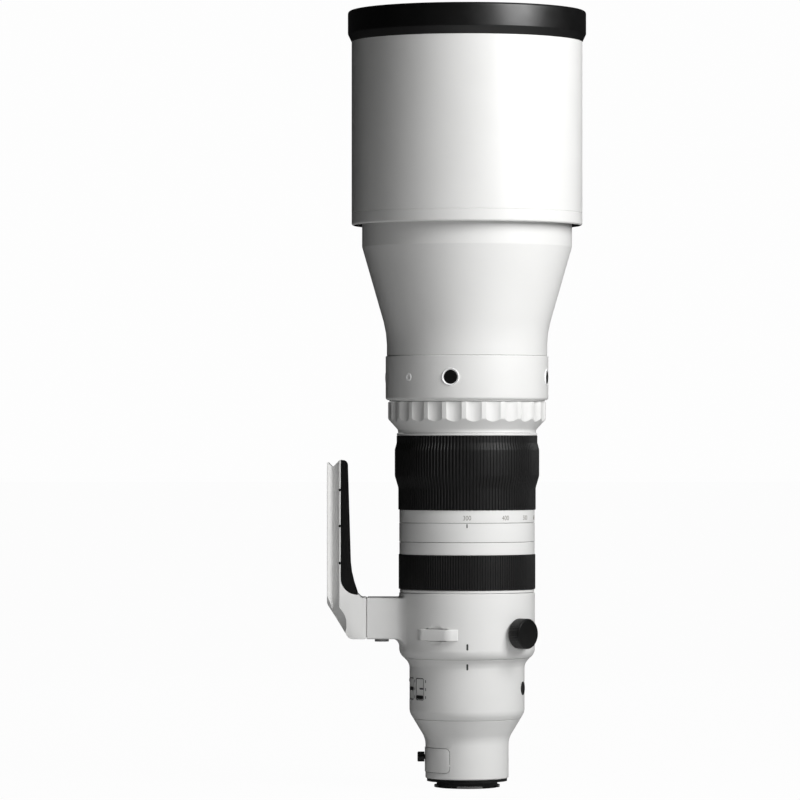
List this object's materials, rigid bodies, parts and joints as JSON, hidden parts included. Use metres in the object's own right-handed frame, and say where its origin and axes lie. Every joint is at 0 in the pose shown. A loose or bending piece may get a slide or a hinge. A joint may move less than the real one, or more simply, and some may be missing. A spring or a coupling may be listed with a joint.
{
  "type": "camera zoom lens",
  "caption": "Long white telephoto zoom lens with a deep hood, ribbed black zoom and focus rings, a fluted ring, tripod collar with foot, and a bayonet mount.",
  "frame": {"origin": "where the lens axis meets the flange face that touches the camera", "axes": "+Z along the lens axis towards the front glass and hood, -X towards the tripod foot"},
  "size_m": [0.2058, 0.1949, 0.6183],
  "materials": {
    "white_paint": "satin",
    "white_plastic": "satin",
    "black_rubber": "matte",
    "black_plastic": "satin",
    "dark_alloy": "satin",
    "grey_alloy": "satin",
    "bright_steel": "satin",
    "dark_steel": "satin",
    "gold": "gloss",
    "board_green": "satin",
    "optical_glass": "gloss",
    "front_glass": "gloss"
  },
  "bodies": {
    "barrel": {"bayonet_mount": "bright_steel", "mount_screws": "dark_steel", "mount_gasket": "black_rubber", "contact_block": "black_plastic", "contact_pins": "gold", "rear_tube": "white_paint", "rear_barrel": "white_paint", "main_board": "board_green", "chassis_tube": "dark_alloy", "relay_cell": "dark_alloy", "relay_glass": "optical_glass", "stabiliser_base": "dark_alloy", "focus_rails": "bright_steel", "iris_housing": "black_plastic", "iris_blades": "dark_steel", "main_tube": "dark_alloy", "index_band": "white_paint", "guide_tube": "dark_alloy", "button_band": "white_paint", "button_board": "board_green", "front_barrel": "white_paint", "front_cell": "dark_alloy", "front_glass": "front_glass", "front_group_glass": "optical_glass", "front_retainer": "black_plastic"},
    "filter_holder": {"filter_drawer": "white_paint", "rear_filter": "optical_glass"},
    "filter_lock": {"filter_knob": "black_plastic"},
    "switch_one": {"switch_1": "black_plastic"},
    "switch_two": {"switch_2": "black_plastic"},
    "switch_three": {"switch_3": "black_plastic"},
    "switch_four": {"switch_4": "black_plastic"},
    "set_button": {"focus_set_button": "black_plastic"},
    "collar": {"tripod_collar": "white_paint", "tripod_foot": "white_paint", "foot_grip": "black_rubber", "foot_screws": "bright_steel"},
    "collar_lock": {"collar_knob": "black_plastic"},
    "focus_sleeve": {"focus_ring": "white_paint", "focus_rubber": "black_rubber"},
    "zoom_sleeve": {"zoom_ring": "white_paint", "zoom_rubber": "black_rubber", "cam_tube": "grey_alloy"},
    "variator": {"variator_cell": "dark_alloy", "variator_glass": "optical_glass"},
    "compensator": {"compensator_cell": "dark_alloy", "compensator_glass": "optical_glass"},
    "focus_group": {"focus_cell": "black_plastic", "focus_glass": "optical_glass"},
    "shift_shaft": {"stabiliser_shaft": "bright_steel"},
    "shift_group": {"stabiliser_cell": "black_plastic", "stabiliser_glass": "optical_glass"},
    "function_sleeve": {"function_ring": "white_paint"},
    "hold_one": {"hold_button_1": "black_rubber"},
    "hold_two": {"hold_button_2": "black_rubber"},
    "hold_three": {"hold_button_3": "black_rubber"},
    "hold_four": {"hold_button_4": "black_rubber"},
    "hood": {"hood_tube": "white_plastic", "hood_rim": "black_rubber"},
    "hood_lock": {"hood_screw": "black_plastic"}
  },
  "joints": [
    {"name": "collar_turn", "type": "hinge", "parent": "barrel", "child": "collar", "pos_m": [0, 0, 0.1242], "axis": [0, 0, 1], "continuous": true},
    {"name": "collar_lock_turn", "type": "hinge", "parent": "collar", "child": "collar_lock", "pos_m": [0.04003, -0.03772, 0.1185], "axis": [0.7278, -0.6858, 0], "range_deg": [0, 180]},
    {"name": "focus_turn", "type": "hinge", "parent": "barrel", "child": "focus_sleeve", "pos_m": [0, 0, 0.1715], "axis": [0, 0, 1], "continuous": true},
    {"name": "zoom_turn", "type": "hinge", "parent": "barrel", "child": "zoom_sleeve", "pos_m": [0, 0, 0.241], "axis": [0, 0, 1], "range_deg": [-80.5, 0.1]},
    {"name": "variator_slide", "type": "slide", "parent": "barrel", "child": "variator", "axis": [0, 0, 1], "range_m": [-0.04, 0]},
    {"name": "compensator_slide", "type": "slide", "parent": "barrel", "child": "compensator", "axis": [0, 0, 1], "range_m": [-0.0002, 0.0122]},
    {"name": "focus_slide", "type": "slide", "parent": "barrel", "child": "focus_group", "axis": [0, 0, 1], "range_m": [0, 0.024]},
    {"name": "shift_x", "type": "slide", "parent": "barrel", "child": "shift_shaft", "axis": [1, 0, 0], "range_m": [-0.001, 0.001], "stiffness_N_per_m": 200},
    {"name": "shift_y", "type": "slide", "parent": "shift_shaft", "child": "shift_group", "axis": [0, 1, 0], "range_m": [-0.001, 0.001], "stiffness_N_per_m": 200},
    {"name": "function_turn", "type": "hinge", "parent": "barrel", "child": "function_sleeve", "pos_m": [0, 0, 0.29], "axis": [0, 0, 1], "range_deg": [-15, 15], "stiffness_Nm_per_rad": 0.5},
    {"name": "hold_press_one", "type": "slide", "parent": "barrel", "child": "hold_one", "axis": [0.2011, 0.9796, 0], "range_m": [0, 0.001], "stiffness_N_per_m": 600},
    {"name": "hold_press_two", "type": "slide", "parent": "barrel", "child": "hold_two", "axis": [-0.9796, 0.2011, 0], "range_m": [0, 0.001], "stiffness_N_per_m": 600},
    {"name": "hold_press_three", "type": "slide", "parent": "barrel", "child": "hold_three", "axis": [-0.2011, -0.9796, 0], "range_m": [0, 0.001], "stiffness_N_per_m": 600},
    {"name": "hold_press_four", "type": "slide", "parent": "barrel", "child": "hold_four", "axis": [0.9796, -0.2011, 0], "range_m": [0, 0.001], "stiffness_N_per_m": 600},
    {"name": "set_press", "type": "slide", "parent": "barrel", "child": "set_button", "axis": [-0.9681, 0.2504, 0], "range_m": [0, 0.001], "stiffness_N_per_m": 600},
    {"name": "switch_slide_one", "type": "slide", "parent": "barrel", "child": "switch_one", "axis": [0, 0, 1], "range_m": [0, 0.013]},
    {"name": "switch_slide_two", "type": "slide", "parent": "barrel", "child": "switch_two", "axis": [0, 0, 1], "range_m": [-0.0065, 0.0065]},
    {"name": "switch_slide_three", "type": "slide", "parent": "barrel", "child": "switch_three", "axis": [0, 0, 1], "range_m": [-0.013, 0]},
    {"name": "switch_slide_four", "type": "slide", "parent": "barrel", "child": "switch_four", "axis": [0, 0, 1], "range_m": [0, 0.013]},
    {"name": "filter_slide", "type": "slide", "parent": "barrel", "child": "filter_holder", "axis": [-1, 0, 0], "range_m": [0, 0.062]},
    {"name": "filter_lock_turn", "type": "hinge", "parent": "filter_holder", "child": "filter_lock", "pos_m": [-0.0345, 0, 0.0193], "axis": [-1, 0, 0], "range_deg": [0, 90]},
    {"name": "hood_slide", "type": "slide", "parent": "barrel", "child": "hood", "axis": [0, 0, 1], "range_m": [0, 0.04]},
    {"name": "hood_lock_turn", "type": "hinge", "parent": "hood", "child": "hood_lock", "pos_m": [0, 0.0925, 0.4563], "axis": [0, 1, 0], "range_deg": [0, 180]}
  ],
  "couplings": [
    {"joint": "zoom_turn", "follows": "variator_slide", "rad_per_m": 35.081},
    {"joint": "compensator_slide", "follows": "variator_slide", "ratio": -0.3}
  ]
}
